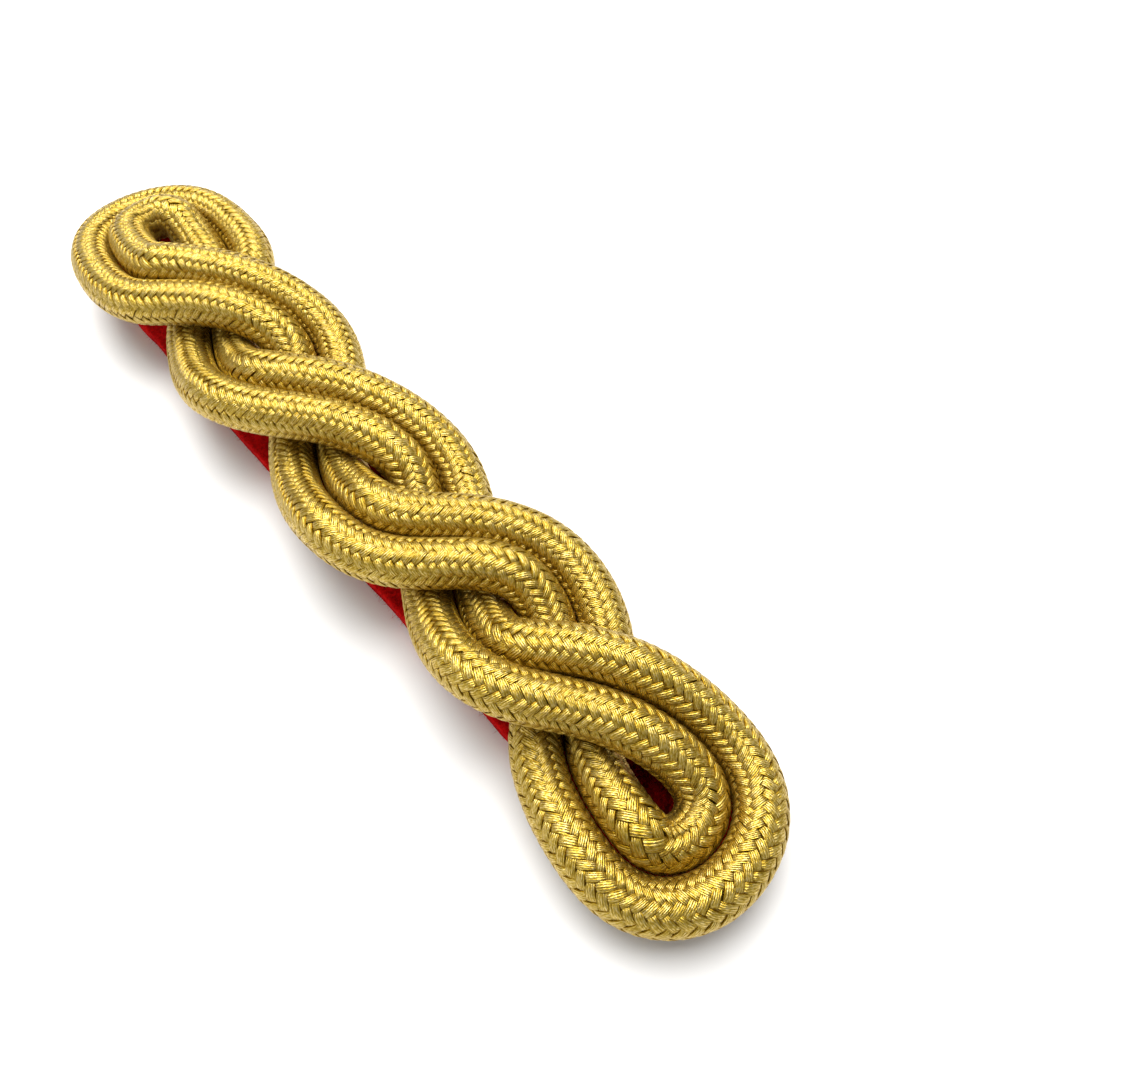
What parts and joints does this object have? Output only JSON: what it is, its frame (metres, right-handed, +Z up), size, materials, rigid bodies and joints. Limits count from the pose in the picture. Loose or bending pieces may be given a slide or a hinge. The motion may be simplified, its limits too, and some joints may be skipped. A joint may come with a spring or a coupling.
{
  "type": "twisted shoulder cord",
  "caption": "Flat shoulder cord: doubled round braided gold cords laid in a two-strand twist with a double loop at each end, sewn on a strip of red felt.",
  "frame": {"origin": "under the middle of the part, on the felt's underside", "axes": "+Y along the shoulder cord towards the loop that lies farther away in the picture, +Z up out of the felt"},
  "size_m": [0.0258, 0.1296, 0.0154],
  "materials": {
    "gold_braid": "tubular braid of metallised gold thread, satin with bright glints",
    "red_felt": "matt wool felt with fine loose fibres at the edge"
  },
  "bodies": {
    "root": {"outer_cord": "gold_braid", "inner_cord": "gold_braid", "felt_backing": "red_felt"}
  },
  "joints": []
}
